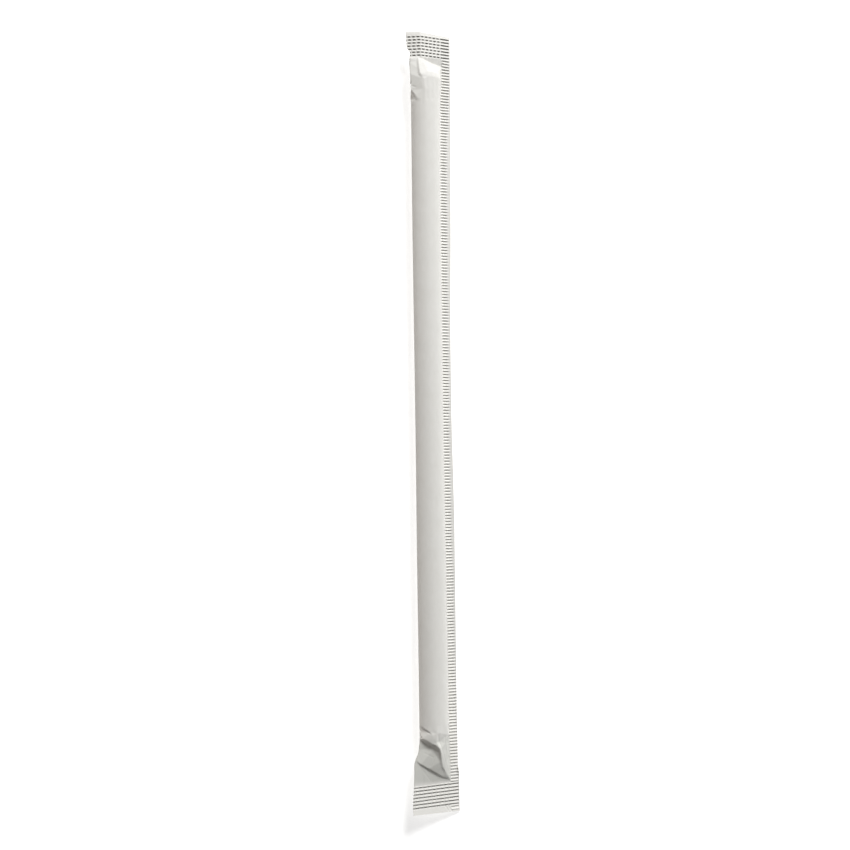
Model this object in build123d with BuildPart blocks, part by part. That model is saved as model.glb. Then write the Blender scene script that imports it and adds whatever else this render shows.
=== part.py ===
"""A drinking straw sealed in its paper sleeve: one closed pack, lying on its side.

The sleeve is one web of paper, folded along its left edge round the straw and crimped shut along
its right edge and across both ends. It can't be seen into, so the pack is one solid.
Y runs along the straw, Z is up, and the origin is on the table under the middle of the pack.
"""

from math import acos, asin, atan2, cos, hypot, sin
import os

from build123d import *

os.makedirs("parts", exist_ok=True)

# The straw and the paper round it
straw_length = 197.0
straw_diameter = 6.0
paper_slack = 0.1  # the paper stands this far off the straw's wall
fold_stand = 1.3  # the folded edge stands this far out from the round over the straw
root_stand = 1.5  # and the root of the long seal stands this far out on the other side
rest_depth = 0.15  # the sleeve is pressed flat by this much where it lies on the table

# The long seal, a crimped fin down the right side
fin_width = 3.5
fin_margin = 0.8  # plain paper outside the crimp

# The two end seals, and the paper that closes down to them from the straw's ends
top_seal_length = 7.8
top_margin = 0.9
top_taper_length = 4.8
top_flare = 1.9  # how far the folded edge moves out as the sleeve flattens
top_flare_share = 0.25  # share of that flare reached where the crimp starts
top_spread_length = 2.6  # the rest of it comes over this much of the crimp
bottom_seal_length = 9.6
bottom_margin = 1.6
bottom_taper_length = 13.4
bottom_flare = 2.1
bottom_flare_share = 0.55  # share of the bottom taper in which its folded edge moves out

# The crimp: two plies pressed into ribs that run across the sleeve
seal_thickness = 0.2
rib_pitch = 0.9
rib_depth = 0.16  # from crest to trough
seal_overlap = 0.5  # the crimped plies run this far into the round of the sleeve
margin_overlap = 0.25  # and the plain edges this far into the crimp

# Worked out from the sizes above
round_radius = straw_diameter / 2 + paper_slack
axis_height = round_radius - rest_depth
fold_reach = round_radius + fold_stand
root_reach = round_radius + root_stand
half_seal = seal_thickness / 2
fin_edge = root_reach + fin_width
fin_crimp_edge = fin_edge - fin_margin
top_straw_end = straw_length / 2
bottom_straw_end = -straw_length / 2
top_seal_start = top_straw_end + top_taper_length
bottom_seal_start = bottom_straw_end - bottom_taper_length
bottom_spread = bottom_straw_end - bottom_taper_length * bottom_flare_share
spread_height = round_radius + (half_seal - round_radius) * bottom_flare_share
top_end = top_seal_start + top_seal_length
bottom_end = bottom_seal_start - bottom_seal_length
ribs_start = bottom_end + bottom_margin
ribs_end = top_end - top_margin
rib_overshoot = rib_pitch  # the outline that cuts the crimp runs this far past its ribs
top_reach = fold_reach + top_flare
top_seal_reach = fold_reach + top_flare * top_flare_share
bottom_reach = fold_reach + bottom_flare
widest_reach = max(top_reach, bottom_reach)

# The sleeve rolls about the straw until the fin's outer edge comes down to the table
edge_distance = hypot(fin_edge, half_seal)
roll = asin(axis_height / edge_distance) - atan2(half_seal, fin_edge)
towards_fin = Vector(cos(roll), 0, -sin(roll))
off_table = Vector(sin(roll), 0, cos(roll))
middle_x = (fin_edge - widest_reach) / 2 * cos(roll)
middle_y = (top_end + bottom_end) / 2
axis_point = Vector(-middle_x, -middle_y, axis_height)
seal_plane = Plane(origin=axis_point, x_dir=towards_fin, z_dir=off_table)
rib_plane = Plane(origin=axis_point, x_dir=(0, 1, 0), z_dir=towards_fin)


def section_plane(y):
    """The plane square to the straw at y, with its x towards the fin."""
    return Plane(origin=axis_point + Vector(0, y, 0), x_dir=towards_fin, z_dir=(0, -1, 0))


def sleeve_section(left, right, height):
    """The sleeve's girth: a flat from each edge to the round over the straw, above and below."""
    left_turn = acos(height / left)
    right_turn = acos(height / right)
    left_flat = (-height * cos(left_turn), height * sin(left_turn))
    right_flat = (height * cos(right_turn), height * sin(right_turn))
    for side in (1, -1):
        Line((-left, 0), (left_flat[0], left_flat[1] * side))
        ThreePointArc(
            (left_flat[0], left_flat[1] * side),
            (0, height * side),
            (right_flat[0], right_flat[1] * side),
        )
        Line((right_flat[0], right_flat[1] * side), (right, 0))


def rib_line(lift):
    """The zigzag of the crimp seen from the side, from its first rib to its last."""
    count = 2 * round((ribs_end - ribs_start) / rib_pitch)
    step = (ribs_end - ribs_start) / count
    ribs = [(ribs_start + step * n, lift + rib_depth / 2 * (-1) ** n) for n in range(1, count)]
    return [(ribs_start, lift), *ribs, (ribs_end, lift)]


# The crimped plies: one ribbed sheet, cut to the fin and the two end seals
with BuildPart() as crimped_plies:
    with BuildSketch(rib_plane.offset(-widest_reach)):
        with BuildLine():
            Polyline(*rib_line(half_seal), *reversed(rib_line(-half_seal)), close=True)
        make_face()
    extrude(amount=widest_reach + fin_crimp_edge)
    with BuildSketch(seal_plane):
        with BuildLine():
            Polyline(
                (-bottom_reach, ribs_start - rib_overshoot),
                (fin_crimp_edge, ribs_start - rib_overshoot),
                (fin_crimp_edge, ribs_end + rib_overshoot),
                (-top_reach, ribs_end + rib_overshoot),
                (-top_reach, top_seal_start + top_spread_length),
                (-top_seal_reach, top_seal_start - seal_overlap),
                (root_reach - seal_overlap, top_seal_start - seal_overlap),
                (root_reach - seal_overlap, bottom_seal_start + seal_overlap),
                (-bottom_reach, bottom_seal_start + seal_overlap),
                close=True,
            )
        make_face()
    extrude(amount=seal_thickness, both=True, mode=Mode.INTERSECT)

with BuildPart() as wrapped_straw:
    # The round of the sleeve along the straw
    with BuildSketch(section_plane(bottom_straw_end)):
        with BuildLine():
            sleeve_section(fold_reach, root_reach, round_radius)
        make_face()
    extrude(amount=-straw_length)

    # The top end closes straight down to its seal
    with BuildSketch(section_plane(top_straw_end)):
        with BuildLine():
            sleeve_section(fold_reach, root_reach, round_radius)
        make_face()
    with BuildSketch(section_plane(top_seal_start)):
        with BuildLine():
            sleeve_section(top_seal_reach, root_reach, half_seal)
        make_face()
    loft(ruled=True)

    # The bottom end spreads to its full width first, then closes
    with BuildSketch(section_plane(bottom_straw_end)):
        with BuildLine():
            sleeve_section(fold_reach, root_reach, round_radius)
        make_face()
    with BuildSketch(section_plane(bottom_spread)):
        with BuildLine():
            sleeve_section(bottom_reach, root_reach, spread_height)
        make_face()
    with BuildSketch(section_plane(bottom_seal_start)):
        with BuildLine():
            sleeve_section(bottom_reach, root_reach, half_seal)
        make_face()
    loft(ruled=True)

    # The plain paper outside the crimp, down the fin and across both ends
    with BuildSketch(seal_plane.offset(-half_seal)):
        with BuildLine():
            Polyline(
                (-bottom_reach, bottom_end),
                (fin_edge, bottom_end),
                (fin_edge, top_end),
                (-top_reach, top_end),
                (-top_reach, ribs_end - margin_overlap),
                (fin_crimp_edge - margin_overlap, ribs_end - margin_overlap),
                (fin_crimp_edge - margin_overlap, ribs_start + margin_overlap),
                (-bottom_reach, ribs_start + margin_overlap),
                close=True,
            )
        make_face()
    extrude(amount=seal_thickness)
    add(crimped_plies.part)

    # The flat strip that the sleeve lies on
    split(bisect_by=Plane.XY, keep=Keep.TOP)

wrapped_straw.part.label = "wrapped_straw"
export_step(wrapped_straw.part, "parts/wrapped_straw.step")
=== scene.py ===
import math

import bpy
import numpy as np
from mathutils import Matrix, Vector
from mathutils.geometry import delaunay_2d_cdt


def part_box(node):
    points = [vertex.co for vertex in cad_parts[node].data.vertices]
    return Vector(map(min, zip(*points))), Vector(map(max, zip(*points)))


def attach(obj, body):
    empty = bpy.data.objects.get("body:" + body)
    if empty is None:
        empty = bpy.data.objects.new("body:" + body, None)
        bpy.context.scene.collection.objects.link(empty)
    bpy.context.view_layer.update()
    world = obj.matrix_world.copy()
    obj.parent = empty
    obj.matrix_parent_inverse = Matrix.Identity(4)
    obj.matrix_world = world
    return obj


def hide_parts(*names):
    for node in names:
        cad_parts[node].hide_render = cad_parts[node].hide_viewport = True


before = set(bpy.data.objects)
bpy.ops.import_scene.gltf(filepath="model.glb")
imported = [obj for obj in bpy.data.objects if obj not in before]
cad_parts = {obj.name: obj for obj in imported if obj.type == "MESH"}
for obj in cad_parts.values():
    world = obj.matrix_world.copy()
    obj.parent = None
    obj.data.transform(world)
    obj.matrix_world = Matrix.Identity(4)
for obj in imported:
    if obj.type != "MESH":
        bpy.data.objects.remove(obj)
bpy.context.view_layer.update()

mm = 0.001
node = "wrapped_straw"
low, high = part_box(node)
print("frame loaded, the pack is", [round((high[i] - low[i]) / mm, 2) for i in range(3)], "mm")


# sRGB hex to linear
def hexColour(code):
    parts = [int(code[i:i + 2], 16) / 255 for i in (1, 3, 5)]
    linear = [p / 12.92 if p <= 0.04045 else ((p + 0.055) / 1.055) ** 2.4 for p in parts]
    return (*linear, 1.0)


# one node, with its settings and what feeds its inputs
def addNode(tree, kind, settings=None, links=None):
    newNode = tree.nodes.new(kind)
    for name, value in (settings or {}).items():
        if name in newNode.inputs:
            newNode.inputs[name].default_value = value
        else:
            setattr(newNode, name, value)
    for name, source in (links or {}).items():
        tree.links.new(source, newNode.inputs[name])
    return newNode


# 0 before start, 1 after end, straight between; end may be the smaller
def ramp(value, start, end):
    return np.clip((value - start) / (end - start), 0, 1)


# the same, eased at both ends
def smooth(value, start, end):
    share = ramp(value, start, end)
    return share * share * (3 - 2 * share)


# sizes in mm, places as (u across, y along, w off the plane of the long seal)
sleeve = {
    "roundRadius": 3.1,      # straw and the paper over it
    "fullness": 2.95,        # height of the paper over the straw's axis
    "restDepth": 0.15,       # pressed flat where it lies
    "finReach": 8.1,         # straw axis to the outer edge of the long seal
    "foldReach": 6.5,        # and to the folded edge where the ends are flat
    "topSeal": 7.8,
    "topTaper": 4.8,
    "bottomSeal": 9.6,
    "bottomTaper": 13.4,
    "plies": 0.12,           # two plies pressed together
    "foldRound": 0.7,        # fullness of the sleeve towards its folded edge
    "rootRound": 0.45,       # and towards the long seal, where the paper is slacker
    "bodyColumns": 20,
    "finColumns": 7,
    "rowStep": 0.45,
    "cuts": 2,
    "topFine": 10.0,         # finer paper from here before the straw's top end
    "bottomFine": 5.0,       # and from here before its bottom end
    "softening": 2,          # rounds of smoothing over the creased ends
    "softTop": (94.0, 109.0),
    "softBottom": (-108.0, -90.5),
    "tableGap": 0.01,
    "sharpAngle": 45.0,      # edges bent further than this show as creases
}
topEnd, bottomEnd = high.y / mm, low.y / mm
topStraw = topEnd - sleeve["topSeal"] - sleeve["topTaper"]
bottomStraw = bottomEnd + sleeve["bottomSeal"] + sleeve["bottomTaper"]
axisHeight = sleeve["roundRadius"] - sleeve["restDepth"]
halfPlies = sleeve["plies"] / 2
# the pack rolls about the straw until the outer edge of the long seal comes down to the table
halfSeal = 0.1           # half the thickness of the seal's outer edge in the pack
edgeDistance = math.hypot(sleeve["finReach"], halfSeal)
roll = math.asin(axisHeight / edgeDistance) - math.atan2(halfSeal, sleeve["finReach"])
rollCos, rollSin = math.cos(roll), math.sin(roll)
axisX = -(sleeve["finReach"] - sleeve["foldReach"]) / 2 * rollCos


# from the straw's axis to each line along the sleeve: a start, then steps of (change, from y, to y)
alongLines = {
    # the folded edge: the paper spreads as it flattens at each end
    "fold": (4.2, [(0.22, -95, -30), (0.32, -20, 70), (0.3, 94, 108), (0.3, 97.2, 98.2), (-0.3, 106, 109),
                   (0.9, 109.8, 111.5), (0.2, 111.5, 116), (0.35, -95, -98), (1.38, -97.5, -102.2),
                   (0.57, -103, -116)]),
    # the root of the long seal, the last of its crimp and its outer edge
    "root": (4.28, [(0.27, 60, 95), (0.6, 92, 104), (0.6, 5, -85), (0.45, -85, -107)]),
    "crimp": (6.3, [(0.2, 10, 60), (1.2, 72, 106), (1.0, -5, -85), (0.5, -85, -100)]),
    "outer": (7.12, [(0.55, 20, 65), (0.43, 65, 100), (0.5, 5, -35), (0.12, -85, -100),
                     (0.36, -103.8, -106)]),
}
nicks = {"places": [(-92.25, 0.3), (-94.05, 0.35), (-97.5, 0.15)], "width": 0.2}     # in the folded edge


def reachTo(line, y):
    reach, steps = alongLines[line]
    for change, start, end in steps:
        reach = reach + change * smooth(y, start, end)
    if line == "fold":
        for place, depth in nicks["places"]:
            reach = reach - depth * np.exp(-((y - place) / nicks["width"]) ** 2)
    return reach


# half the sleeve's thickness over the straw's axis
def pouchHeight(y):
    full = sleeve["fullness"] - halfPlies
    topDrop = ramp(y, topStraw, topStraw + sleeve["topTaper"])
    bottomDrop = ramp(y, bottomStraw, bottomStraw - sleeve["bottomTaper"])
    return full * (1 - np.maximum(topDrop, bottomDrop))


# height of the plain sleeve off the seal plane, fuller where rootRound is small
def pouch(u, y, rootRound):
    share = np.where(u < 0, u / reachTo("fold", y), u / reachTo("root", y))
    power = np.where(u < 0, sleeve["foldRound"], rootRound)
    return pouchHeight(y) * np.clip(1 - share * share, 0, 1) ** power


# how the sleeve leaves the seal plane
bend = {
    "crease": -1.9,          # the top seal is bent along this line
    "height": 1.3,
    "fall": 0.36,            # slope from the crease to the folded edge
    "sealFrom": (103, 108.4),
    "foldLift": 1.0,         # and lifts the fold with it
    "foldAcross": (-1.5, -4.7),
    "foldAlong": (97.4, 98.0),
    "dogEar": 0.55,          # turned-up edge of the long seal
    "earAcross": (7.2, 7.75),
    "earRise": (-106.2, -103.6),
    "earEnd": (-103.2, -103.6),
    "topCurl": 0.15,         # the plain margins curl, down at the top and up at the bottom
    "topCurlFrom": (115.4, 116.3),
    "bottomCurl": 0.4,
    "bottomCurlFrom": (-114.7, -116.3),
}


def sealLift(u, y):
    reach = sleeve["finReach"] - bend["crease"]
    right = bend["height"] * (sleeve["finReach"] - u) / reach
    left = bend["height"] + bend["fall"] * (u - bend["crease"])
    sealed = smooth(y, *bend["sealFrom"])
    bent = np.where(u > bend["crease"], right, left) * sealed
    fold = bend["foldLift"] * smooth(u, *bend["foldAcross"]) * smooth(y, *bend["foldAlong"]) * (1 - sealed)
    ear = bend["dogEar"] * smooth(u, *bend["earAcross"])
    ear = ear * ramp(y, *bend["earRise"]) * ramp(y, *bend["earEnd"])
    bottomCurl = bend["bottomCurl"] * ramp(y, *bend["bottomCurlFrom"])
    topCurl = bend["topCurl"] * ramp(y, *bend["topCurlFrom"])
    return bent + fold + ear + bottomCurl - topCurl


# creased ends: fold points of the upper ply, one with no height lies on the plain sleeve
topFolds = {
    "from": (94.5, 95.6),
    "points": {
        "a0": (-4.9, 94.5, 0.0), "a1": (-4.2, 94.5), "a2": (-3.4, 94.5), "a3": (-2.4, 94.5),
        "a4": (-1.2, 94.5), "a5": (0.2, 94.5), "a6": (1.8, 94.5), "a7": (3.2, 94.5), "a8": (4.2, 94.5),
        "a9": (4.6, 94.5, 0.0),
        # pinched pleat at the fold
        "tipLow": (-4.0, 95.8, 1.2), "pocketLow": (-4.65, 95.7, -0.3), "pocketTop": (-4.95, 97.6, -0.3),
        "tip": (-3.9, 96.05, 1.7), "flap": (-5.0, 97.9, 0.9),
        # flat flank over it
        "e1": (-5.3, 103.0, 0.9), "e2": (-5.35, 106.8, 0.5), "e3": (-5.35, 108.35, 0.15),
        "m1": (-1.4, 98.4, 2.79), "m2": (-1.8, 101.2, 2.66),
        "g4": (0.0, 98.4), "g5": (1.6, 98.4), "g6": (3.2, 98.4), "g7": (4.3, 98.4), "g8": (4.98, 98.4, 0.0),
        # valley, and the ridge that overlaps it
        "v1": (-2.2, 101.6, 2.35), "v2": (-2.98, 102.8, 1.85), "v3": (-3.12, 104.9, 1.5),
        "v4": (-3.1, 107.2, 1.1),
        "i1": (-1.95, 101.9, 2.5), "i2": (-2.62, 103.0, 2.3), "i3": (-2.8, 104.9, 1.95),
        "i4": (-2.85, 107.3, 1.4), "n1": (-5.2, 107.9, 0.5),
        # straw's rim, and the bright slope down to the seal
        "h2": (0.0, 102.4), "h3": (1.6, 102.4), "h4": (3.2, 102.4), "h5": (4.4, 102.4),
        "h6": (5.12, 102.4, 0.0),
        "p2": (0.0, 103.8, 2.68), "p3": (1.6, 103.8, 2.48), "p4": (3.2, 103.8, 2.0),
        "p5": (4.4, 103.8, 1.1), "p6": (5.14, 103.8, 0.0),
        "w1": (-1.45, 108.15, 1.25), "w2": (1.73, 107.3, 0.48), "w3": (5.25, 106.7, -0.05),
        "s0": (-2.8, 108.62, 0.98), "s1": (-1.8, 108.72, 1.3), "s2": (1.73, 109.0, 0.83),
        "s3": (5.3, 109.2, 0.36),
    },
    "creases": [
        ["a0", "a1", "a2", "a3", "a4", "a5", "a6", "a7", "a8", "a9"],
        ["flap", "tip"], ["pocketTop", "tipLow", "pocketLow", "pocketTop"], ["tip", "m1", "m2", "v1"],
        ["m1", "g4", "g5", "g6", "g7", "g8"],
        ["flap", "e1", "e2", "n1", "e3"], ["a0", "pocketLow"], ["pocketTop", "flap"],
        ["v1", "v2", "v3", "v4"], ["i1", "i2", "i3", "i4"], ["v1", "i1"], ["v4", "i4"],
        ["n1", "v4"], ["e3", "s0", "s1", "s2", "s3"], ["i4", "w1"],
        ["i1", "h2", "h3", "h4", "h5", "h6"], ["i2", "p2", "p3", "p4", "p5", "p6"], ["w1", "w2", "w3"],
        ["g8", "h6", "p6", "w3", "s3"], ["i2", "w1"], ["i3", "w1"], ["p2", "w1"], ["p2", "w2"],
        ["p3", "w2"], ["p4", "w2"], ["p4", "w3"],
    ],
}
bottomFolds = {
    "from": (-90.3, -91.3),
    "points": {
        "b0": (-4.4, -90.3, 0.0), "b1": (-3.5, -90.3), "b2": (-2.4, -90.3), "b3": (-1.2, -90.3),
        "b4": (0.2, -90.3), "b5": (1.6, -90.3), "b6": (3.0, -90.3), "b7": (4.1, -90.3),
        "b8": (4.95, -90.3, 0.0),
        # short crease near the fold
        "c1": (-3.35, -91.4, 1.5), "c2": (-2.2, -92.25, 2.4), "c3": (-3.45, -91.68, 0.9),
        "c4": (-2.3, -92.53, 1.85),
        # straw's rim
        "n0": (-4.3, -92.5, 0.0), "n1": (-2.3, -92.75, 2.2), "n2": (-1.28, -93.3, 2.75),
        "r0": (0.2, -92.9, 2.97), "r1": (1.2, -92.8, 2.9), "r2": (4.2, -93.7, 1.7),
        "r3": (5.05, -94.2, 0.0),
        # dark drop below the rim, upper and lower edge
        "d0": (-4.35, -94.5, 0.0), "d1": (-3.75, -94.4, 1.3), "d2": (-2.9, -94.7, 1.95),
        "d3": (-1.6, -95.6, 2.5), "d4": (-0.35, -96.1, 2.9),
        "e1": (-3.6, -95.3, 0.45), "e2": (-2.2, -96.3, 1.0), "e3": (-0.7, -97.5, 1.5),
        "e4": (0.95, -98.5, 2.35),
        "g0": (-4.75, -97.9, 0.0), "g1": (-2.28, -97.3, 0.75),
        # ridge: its crest, and the far edge of its bright side
        "s0": (-0.05, -95.4, 2.88), "s1": (0.75, -97.0, 3.2), "s2": (1.1, -98.2, 3.1),
        "s3": (1.7, -101.3, 2.35),
        "s4": (2.25, -103.0, 1.85), "s5": (3.85, -105.3, 0.95), "s6": (5.35, -107.2, 0.1),
        "t0": (0.9, -95.4, 2.42), "t1": (1.7, -97.1, 2.62), "t2": (2.45, -99.4, 2.2),
        "t3": (3.4, -101.9, 1.45), "t4": (4.5, -104.7, 0.62),
        "q1": (3.3, -96.0, 1.95), "q2": (4.1, -98.9, 1.25),
        "r4": (5.2, -100.6, 0.0), "r5": (5.35, -104.4, 0.0),
        # lower side of the crest
        "f1": (1.42, -101.3, 1.95), "f2": (1.9, -102.9, 1.65), "f3": (2.65, -103.9, 1.25),
        # long overlap above the seal, its edge and the ply below it
        "k0": (-5.06, -100.85, 0.35), "k1": (-4.07, -101.85, 0.7), "k2": (-1.89, -103.2, 0.95),
        "k3": (0.9, -104.9, 0.95), "k4": (2.74, -106.0, 0.6),
        "m0": (-5.3, -101.05, 0.1), "m1": (-4.2, -102.05, 0.25), "m2": (-2.02, -103.38, 0.4),
        "m3": (0.78, -105.08, 0.4), "m4": (2.62, -106.2, 0.2),
        "l1": (-5.2, -99.1, 0.0), "l2": (-6.15, -101.9, 0.0), "l3": (-6.3, -107.65, 0.0),
        "x1": (-3.0, -107.6, 0.0), "x2": (-0.5, -107.6, 0.0), "x3": (2.5, -107.5, 0.0),
        "x4": (5.4, -107.4, 0.0),
    },
    "creases": [
        ["b0", "b1", "b2", "b3", "b4", "b5", "b6", "b7", "b8"],
        ["c1", "c2"], ["c3", "c4"], ["c1", "c3"], ["c2", "c4"],
        ["n0", "n1", "n2", "s0"], ["r0", "r1", "r2", "r3"], ["n2", "r0"], ["b8", "r3", "r4", "r5", "x4"],
        ["b0", "n0", "d0", "g0", "l1", "l2", "l3"],
        ["d0", "d1", "d2", "d3", "d4", "s1"], ["e1", "e2", "e3", "e4"], ["d1", "e1"], ["d2", "e2"],
        ["d3", "e3"],
        ["d4", "e4"], ["d0", "e1"], ["g0", "g1", "e3"], ["e2", "g1"],
        ["s0", "s1", "s2", "s3", "s4", "s5", "s6"], ["t0", "t1", "t2", "t3", "t4", "s6"], ["s0", "t0"],
        ["s1", "t1"], ["s2", "t2"], ["s3", "t3"], ["s4", "t4"],
        ["e4", "f1", "f2", "f3", "k4"], ["e4", "s2"], ["f1", "s3"], ["f2", "s4"], ["f3", "s5"],
        ["k0", "k1", "k2", "k3", "k4", "s6"], ["m0", "m1", "m2", "m3", "m4", "s6"], ["l1", "k0"],
        ["k0", "m0", "l2"],
        ["l3", "x1", "x2", "x3", "x4"], ["r1", "t0"], ["r2", "q1", "t1"], ["q1", "q2", "t2"], ["q2", "r4"],
    ],
}


# heights of flat facets between the fold points
def foldedPaper(folds, u, y, base):
    names = list(folds["points"])
    places = [folds["points"][name] for name in names]
    places = [p if len(p) == 3 else (*p, float(pouch(np.array(p[0]), np.array(p[1]), sleeve["rootRound"])))
              for p in places]
    edges = [(names.index(a), names.index(b)) for run in folds["creases"] for a, b in zip(run, run[1:])]
    flatPoints = [Vector(place[:2]) for place in places]
    corners, _, triangles, origins, _, _ = delaunay_2d_cdt(flatPoints, edges, [], 0, 1e-6)
    heights = [np.mean([places[k][2] for k in source]) if source else 0 for source in origins]
    crossings = [tuple(corner) for corner, source in zip(corners, origins) if not source]
    if crossings:
        print("fold lines cross at", crossings)
    result = base.copy()
    for triangle in triangles:
        (x0, y0), (x1, y1), (x2, y2) = (corners[k] for k in triangle)
        area = (x1 - x0) * (y2 - y0) - (x2 - x0) * (y1 - y0)
        if abs(area) < 1e-9:
            continue
        share1 = ((u - x0) * (y2 - y0) - (x2 - x0) * (y - y0)) / area
        share2 = ((x1 - x0) * (y - y0) - (u - x0) * (y1 - y0)) / area
        inside = (share1 >= -1e-6) & (share2 >= -1e-6) & (share1 + share2 <= 1 + 1e-6)
        w0, w1, w2 = (heights[k] for k in triangle)
        result[inside] = (w0 + (w1 - w0) * share1 + (w2 - w0) * share2)[inside]
    start, full = folds["from"]
    return base + (result - base) * smooth(y * np.sign(start), abs(start), abs(full))


# light creases in the sheet: from, to, depth and width
wrinkles = [
    ((3.65, -114.55), (4.42, -115.8), 0.12, 0.14), ((4.63, -114.8), (5.6, -116.2), 0.12, 0.14),
    ((4.2, -100.9), (4.9, -100.2), 0.12, 0.15), ((-6.3, -111.0), (-4.9, -109.6), 0.05, 0.2),
    ((3.2, 100.0), (4.3, 100.1), 0.06, 0.2), ((-4.6, 99.3), (-4.0, 99.0), 0.08, 0.25),
    ((-3.0, -98.6), (-0.6, -99.9), 0.04, 0.16), ((0.2, -99.5), (-1.4, -102.4), 0.04, 0.16),
    ((1.0, -95.6), (2.45, -99.4), 0.08, 0.13), ((2.45, -99.4), (4.4, -104.6), 0.08, 0.13),
    ((-3.5, -103.6), (-1.2, -106.6), 0.04, 0.2), ((2.9, -94.0), (3.3, -98.0), 0.07, 0.22),
]


def creased(u, y):
    total = np.zeros(len(u))
    for (u0, y0), (u1, y1), depth, width in wrinkles:
        run = (u1 - u0) ** 2 + (y1 - y0) ** 2
        along = np.clip(((u - u0) * (u1 - u0) + (y - y0) * (y1 - y0)) / run, 0, 1)
        away = np.hypot(u - u0 - along * (u1 - u0), y - y0 - along * (y1 - y0))
        total = total - depth * np.exp(-(away / width) ** 2)
    return total


# crimp of the seals: ribs with one steep side, pressed as dashes across both ends
crimp = {
    "depth": 0.34,           # crest to trough
    "steepShare": 0.36,      # of the pitch
    "finPitch": 0.897,
    "finStart": 0.39,
    "topRows": (108.69, 115.39, 7, 0.045, 1.5),      # from, to, count, slant and fullness of the dashes
    "bottomRows": (-114.73, -107.99, 7, 0.02, 2.3),
    "dashPitch": 1.31,
    "dashStart": 0.1,
    "dashSharp": 2.2,        # how quickly a dash ends
    "lineSpread": 1.25,      # how far the painted shade runs past the steep side
    "dashGap": 0.08,         # what is left of the rib between two dashes
    "stagger": (0.12, 2.4),  # each row is shifted a little against the next
    "finShadeStrength": 0.42,        # how dark the painted shade on the long seal's ribs is, against the end seals
    "rootFade": 0.2,
    "edgeFade": 0.1,
    "topPlain": (0.5, 0.8),  # the long seal's ribs stop this short of each end
    "bottomPlain": (0.4, 0.7),
}


def ribShape(turns):
    share = turns % 1
    steep = crimp["steepShare"]
    return (ramp(share, (1 - steep) / 2, (1 + steep) / 2) - share) / (1 - steep)


# painted shade: 1 on the steep, unlit side of a rib, 0 on its back
def steepSideShade(turns):
    return np.clip(crimp["lineSpread"] - np.abs(turns % 1 - 0.5) * 2 / crimp["steepShare"], 0, 1)


# height of the crimp and how much painted shade falls on its steep sides
def crimpPress(u, y, onFin):
    root = reachTo("root", y)
    last = np.minimum(reachTo("crimp", y), reachTo("outer", y) - crimp["edgeFade"])
    lastFade = smooth(u, last + crimp["edgeFade"], last - crimp["edgeFade"])
    fin = smooth(u, root, root + crimp["rootFade"]) * lastFade
    fin = fin * smooth(y, *(bottomEnd + plain for plain in crimp["bottomPlain"]))
    fin = fin * smooth(y, *(topEnd - plain for plain in crimp["topPlain"]))
    turns = (y - crimp["finStart"]) / crimp["finPitch"]
    height, paintedRibShade = fin * ribShape(turns), fin * steepSideShade(turns) * crimp["finShadeStrength"]
    for first, final, count, slant, fullness in (crimp["topRows"], crimp["bottomRows"]):
        level = y - slant * u
        turns = (level - first) / (final - first) * count
        shift = crimp["stagger"][0] * np.sin(np.floor(turns) * crimp["stagger"][1])
        dash = np.cos(2 * math.pi * ((u - crimp["dashStart"]) / crimp["dashPitch"] + shift))
        dash = np.clip(fullness + crimp["dashSharp"] * dash, crimp["dashGap"], 1)
        dash = np.where(onFin, lastFade, dash)
        rows = (level > first) & (level < final)
        height = np.where(rows, ribShape(turns) * dash, height)
        paintedRibShade = np.where(rows, steepSideShade(turns) * dash, paintedRibShade)
    return height * crimp["depth"], paintedRibShade


def meshPoints(mesh):
    points = np.empty(len(mesh.vertices) * 3)
    mesh.vertices.foreach_get("co", points)
    return points.reshape(-1, 3) / mm


def setPoints(mesh, points):
    mesh.vertices.foreach_set("co", (points * mm).ravel())
    mesh.update()


# selects faces by their middle, or edges by their ends
def selectPlaces(piece, test, kind="faces"):
    mesh = piece.data
    for group in (mesh.vertices, mesh.edges, mesh.polygons):
        group.foreach_set("select", np.zeros(len(group), bool))
    if kind == "edges":
        points = meshPoints(mesh)
        ends = np.empty(len(mesh.edges) * 2, int)
        mesh.edges.foreach_get("vertices", ends)
        ends = ends.reshape(-1, 2)
        mesh.edges.foreach_set("select", test(points[ends[:, 0]], points[ends[:, 1]]))
    else:
        centres = np.empty(len(mesh.polygons) * 3)
        mesh.polygons.foreach_get("center", centres)
        mesh.polygons.foreach_set("select", test(centres.reshape(-1, 3) / mm))


def editMode(kind):
    bpy.ops.object.mode_set(mode="EDIT")
    bpy.context.tool_settings.mesh_select_mode = (kind == "VERT", kind == "EDGE", kind == "FACE")


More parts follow.
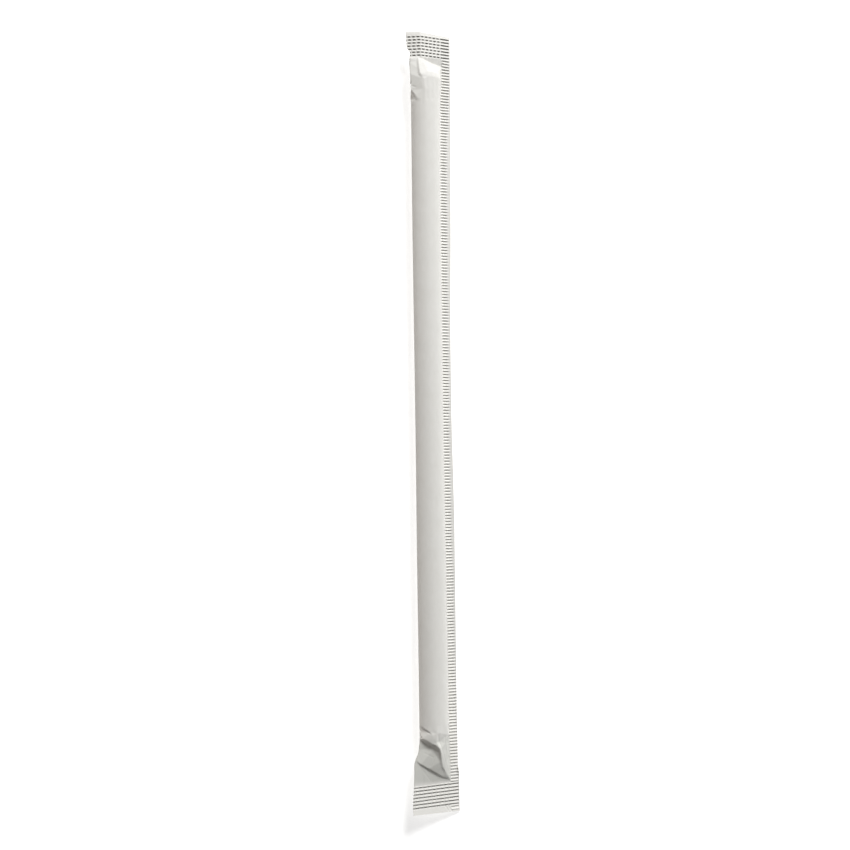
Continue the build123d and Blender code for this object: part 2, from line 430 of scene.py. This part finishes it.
# a flat web of two plies, one unit of x to a column
def layWeb():
    columns = sleeve["bodyColumns"] + sleeve["finColumns"]
    length, rowStep = topEnd - bottomEnd, sleeve["rowStep"]
    bpy.ops.object.select_all(action="DESELECT")
    bpy.ops.mesh.primitive_grid_add(x_subdivisions=columns, y_subdivisions=round(length / rowStep), size=1)
    piece = bpy.context.object
    piece.name = "paper_sleeve"
    piece.scale = (columns * mm, length * mm, 1)
    piece.location = (columns / 2 * mm, (topEnd + bottomEnd) / 2 * mm, 0)
    bpy.ops.object.transform_apply(location=True, rotation=False, scale=True)
    # finer paper at both ends, and finer rows down the long seal
    topFine, bottomFine = topStraw - sleeve["topFine"], bottomStraw + sleeve["bottomFine"]
    selectPlaces(piece, lambda c: (c[:, 1] > topFine) | (c[:, 1] < bottomFine))
    editMode("FACE")
    bpy.ops.mesh.subdivide(number_cuts=sleeve["cuts"])
    bpy.ops.object.mode_set(mode="OBJECT")

    def finRuns(a, b):
        middle = (a[:, 1] + b[:, 1]) / 2
        along = (np.abs(a[:, 0] - b[:, 0]) < 1e-3) & (np.abs(a[:, 1] - b[:, 1]) > rowStep * 0.8)
        coarse = (middle < topFine + 1) & (middle > bottomFine - 1)
        return along & coarse & (a[:, 0] > sleeve["bodyColumns"] - 0.5)

    selectPlaces(piece, finRuns, "edges")
    editMode("EDGE")
    bpy.ops.mesh.subdivide(number_cuts=sleeve["cuts"])
    editMode("FACE")
    bpy.ops.mesh.select_all(action="SELECT")
    bpy.ops.mesh.extrude_region_move(TRANSFORM_OT_translate={"value": (0, 0, -mm)})
    bpy.ops.mesh.select_all(action="SELECT")
    bpy.ops.mesh.normals_make_consistent(inside=False)
    bpy.ops.object.mode_set(mode="OBJECT")
    print("web laid and doubled,", len(piece.data.vertices), "points")
    return piece


# where the paper has no straw close behind it and is painted greyer, as shade seen through it: the flank at
# the top end, all of the bottom end
thinPlaces = {
    "flankShare": 0.35,
    "flankAcross": (-1.6, -3.0),
    "flankFrom": (97.6, 99.2),
    "flankTo": (108.6, 107.4),
    "endFrom": (-93.2, -95.8),
    "endTo": (-107.8, -106.6),
}


# wrapped round the straw, creased at its ends and crimped
def makeSleeve():
    piece = layWeb()
    mesh = piece.data
    points = meshPoints(mesh)
    column, y, side = points[:, 0], points[:, 1], np.where(points[:, 2] > -0.5, 1.0, -1.0)
    across = column / sleeve["bodyColumns"]                              # 0 fold, 1 root
    alongFin = (column - sleeve["bodyColumns"]) / sleeve["finColumns"]   # 0 root, 1 outer edge
    onFin = alongFin > 1e-6
    left, root, outer = reachTo("fold", y), reachTo("root", y), reachTo("outer", y)
    u = np.where(onFin, root + (outer - root) * alongFin, -left + (left + root) * across)
    lift = sealLift(u, y)
    plain = pouch(np.minimum(u, root), y, sleeve["rootRound"]) + lift
    upper = foldedPaper(bottomFolds, u, y, foldedPaper(topFolds, u, y, plain))
    upper = np.where(onFin, lift, upper)
    lower = lift - pouch(np.minimum(u, root), y, sleeve["foldRound"])
    w = np.where(side > 0, upper + halfPlies, np.minimum(lower, upper) - halfPlies)
    # nothing goes below the table
    w = np.maximum(w, (sleeve["tableGap"] - axisHeight + u * rollSin) / rollCos)
    x, z = axisX + u * rollCos + w * rollSin, axisHeight - u * rollSin + w * rollCos
    setPoints(mesh, np.stack([x, y, z], 1))

    # creases as soft as thin paper makes them
    ends = [(y > start) & (y < end) for start, end in (sleeve["softTop"], sleeve["softBottom"])]
    loose = (side > 0) & ~onFin & (ends[0] | ends[1])
    looseFaces = [all(loose[k] for k in face.vertices) for face in mesh.polygons]
    mesh.polygons.foreach_set("select", np.array(looseFaces))
    mesh.vertices.foreach_set("select", loose)
    mesh.edges.foreach_set("select", np.zeros(len(mesh.edges), bool))
    editMode("VERT")
    bpy.ops.mesh.vertices_smooth(factor=0.5, repeat=sleeve["softening"])
    bpy.ops.object.mode_set(mode="OBJECT")

    # crimp and light wrinkles, pressed in along the seal plane's normal
    points = meshPoints(mesh)
    crimpHeight, paintedRibShade = crimpPress(u, y, onFin)
    points = points + (crimpHeight + creased(u, y))[:, None] * np.array([rollSin, 0, rollCos])
    points[:, 2] = np.clip(points[:, 2], sleeve["tableGap"], high.z / mm)
    setPoints(mesh, points)
    flank = thinPlaces["flankShare"] * smooth(u, *thinPlaces["flankAcross"])
    flank = flank * smooth(y, *thinPlaces["flankFrom"]) * smooth(y, *thinPlaces["flankTo"])
    end = smooth(y, *thinPlaces["endFrom"]) * smooth(y, *thinPlaces["endTo"])
    # 1 where the straw backs the paper, lower where painted shade shows through it
    strawBackedLit = np.where(onFin, 1.0, 1 - np.maximum(flank, end))
    for name, values in (("strawBackedLit", strawBackedLit), ("paintedRibShade", paintedRibShade)):
        mesh.attributes.new(name, "FLOAT", "POINT").data.foreach_set("value", values)
    bpy.ops.object.shade_smooth_by_angle(angle=math.radians(sleeve["sharpAngle"]))
    print("sleeve shaped,", sum(len(face.vertices) - 2 for face in mesh.polygons), "triangles")
    return piece


# bleached machine-glazed kraft: thin and smooth, a faint cloud of fibres, a soft sheen and no gloss;
# painted shade darkens the crimp ribs' steep sides and the paper where no straw backs it
paper = {
    "colour": "#ECEBE7",
    "fibreColour": "#E4E2DC",
    "shadeThroughColour": "#DADAD4",   # painted shade seen through thin paper with no straw behind it
    "ribShadeColour": "#5C5B56", # painted shade on the steep, unlit sides of the crimp ribs
    "roughness": 0.5,
    "fibreLength": 1.2,         # mm
    "fibreStretch": 0.35,       # fibres lie along the web
    "fibreDepth": 0.05,
    "cockle": 6.0,              # mm between the soft waves in the sheet
    "cockleDepth": 0.4,
}


def makePaper():
    material = bpy.data.materials.new("bleachedMachineGlazedPaper")
    material.use_nodes = True
    tree = material.node_tree
    tree.nodes.clear()
    place = addNode(tree, "ShaderNodeTexCoord").outputs["Object"]
    fibreMap = addNode(tree, "ShaderNodeMapping", {"Scale": (1, paper["fibreStretch"], 1)},
                       {"Vector": place})
    fibres = addNode(tree, "ShaderNodeTexNoise",
                     {"Scale": 1 / (paper["fibreLength"] * mm), "Detail": 4, "Roughness": 0.65},
                     {"Vector": fibreMap.outputs["Vector"]})
    cockle = addNode(tree, "ShaderNodeTexNoise", {"Scale": 1 / (paper["cockle"] * mm), "Detail": 2},
                     {"Vector": place})
    tint = addNode(tree, "ShaderNodeMix", {"data_type": "RGBA"}, {"Factor": fibres.outputs["Fac"]})
    tint.inputs[6].default_value = hexColour(paper["colour"])
    tint.inputs[7].default_value = hexColour(paper["fibreColour"])
    # painted shade seen through thin paper where no straw backs it
    strawBackedLit = addNode(tree, "ShaderNodeAttribute", {"attribute_name": "strawBackedLit"})
    shadeThroughMix = addNode(tree, "ShaderNodeMix", {"data_type": "RGBA"}, {"Factor": strawBackedLit.outputs["Fac"]})
    shadeThroughMix.inputs[6].default_value = hexColour(paper["shadeThroughColour"])
    tree.links.new(tint.outputs[2], shadeThroughMix.inputs[7])
    # painted shade on the steep, unlit sides of the crimp ribs
    paintedRibShade = addNode(tree, "ShaderNodeAttribute", {"attribute_name": "paintedRibShade"})
    ribShadeMix = addNode(tree, "ShaderNodeMix", {"data_type": "RGBA"}, {"Factor": paintedRibShade.outputs["Fac"]})
    ribShadeMix.inputs[7].default_value = hexColour(paper["ribShadeColour"])
    tree.links.new(shadeThroughMix.outputs[2], ribShadeMix.inputs[6])
    waves = addNode(tree, "ShaderNodeBump", {"Strength": 0.25, "Distance": paper["cockleDepth"] * mm},
                    {"Height": cockle.outputs["Fac"]})
    grain = addNode(tree, "ShaderNodeBump", {"Strength": 0.12, "Distance": paper["fibreDepth"] * mm},
                    {"Height": fibres.outputs["Fac"], "Normal": waves.outputs["Normal"]})
    shader = addNode(tree, "ShaderNodeBsdfPrincipled", {"Roughness": paper["roughness"], "IOR": 1.45},
                     {"Base Color": ribShadeMix.outputs[2], "Normal": grain.outputs["Normal"]})
    addNode(tree, "ShaderNodeOutputMaterial", {}, {"Surface": shader.outputs["BSDF"]})
    return material


# pale table, one soft key light from the upper right, a faint warm one from the left
studio = {
    "distance": 350.0,
    "pitch": 3.509,             # the camera stands a little towards the lower end
    "turn": -0.650,
    "lens": 49.784,
    "target": (-2.072, -2.744, 3.0),
    "keyDirection": (0.33, 0.75, 0.53),
    "keyDistance": 1800.0,
    "keySize": 595.0,
    "keyPower": 33.2,
    "warmPlace": (-400.0, 0.0, 120.0),
    "warmSize": 400.0,
    "warmPower": 0.15,
    "warmColour": "#FFD8B8",
    "fill": 0.17,
    "fillColour": "#FFFFFF",
    "floorColour": "#F4F4F4",
    "floorGlow": 0.6,
    "floorSize": 6000.0,
    "floorGap": 0.02,           # the table is this far under the pack
}


def addLight(name, place, size, power, colour):
    bpy.ops.object.light_add(type="AREA", location=place * mm)
    light = bpy.context.object
    light.name = name
    light.data.size = size * mm
    light.data.energy = power
    light.data.color = hexColour(colour)[:3]
    light.rotation_euler = place.to_track_quat("Z", "Y").to_euler()


def makeStudio():
    scene = bpy.context.scene
    scene.view_settings.view_transform = "Standard"
    bpy.ops.object.select_all(action="DESELECT")
    bpy.ops.mesh.primitive_plane_add(size=studio["floorSize"] * mm,
                                     location=(0, 0, low.z - studio["floorGap"] * mm))
    floor = bpy.context.object
    floor.name = "floor"
    material = bpy.data.materials.new("paleTable")
    material.use_nodes = True
    shader = material.node_tree.nodes["Principled BSDF"]
    shader.inputs["Base Color"].default_value = hexColour(studio["floorColour"])
    shader.inputs["Roughness"].default_value = 0.9
    shader.inputs["Emission Color"].default_value = (1, 1, 1, 1)
    shader.inputs["Emission Strength"].default_value = studio["floorGlow"]
    floor.data.materials.append(material)
    keyPlace = Vector(studio["keyDirection"]).normalized() * studio["keyDistance"]
    addLight("keyLight", keyPlace, studio["keySize"], studio["keyPower"], "#FFFFFF")
    warmPlace = Vector(studio["warmPlace"])
    addLight("warmBounce", warmPlace, studio["warmSize"], studio["warmPower"], studio["warmColour"])
    world = bpy.data.worlds.new("studio")
    world.use_nodes = True
    world.node_tree.nodes["Background"].inputs["Color"].default_value = hexColour(studio["fillColour"])
    world.node_tree.nodes["Background"].inputs["Strength"].default_value = studio["fill"]
    scene.world = world
    bpy.ops.object.camera_add()
    camera = bpy.context.object
    camera.name = "camera"
    turn = Matrix.Rotation(math.radians(studio["turn"]), 4, "Z")
    facing = turn @ Matrix.Rotation(math.radians(studio["pitch"]), 4, "X")
    away = facing @ Vector((0, 0, studio["distance"] * mm))
    camera.matrix_world = Matrix.Translation(Vector(studio["target"]) * mm + away) @ facing
    camera.data.lens = studio["lens"]
    camera.data.sensor_width = 36
    camera.data.clip_start = 0.01
    scene.camera = camera
    print("studio set")


paperSleeve = makeSleeve()
paperSleeve.data.materials.append(makePaper())
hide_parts(node)
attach(paperSleeve, "root")
makeStudio()
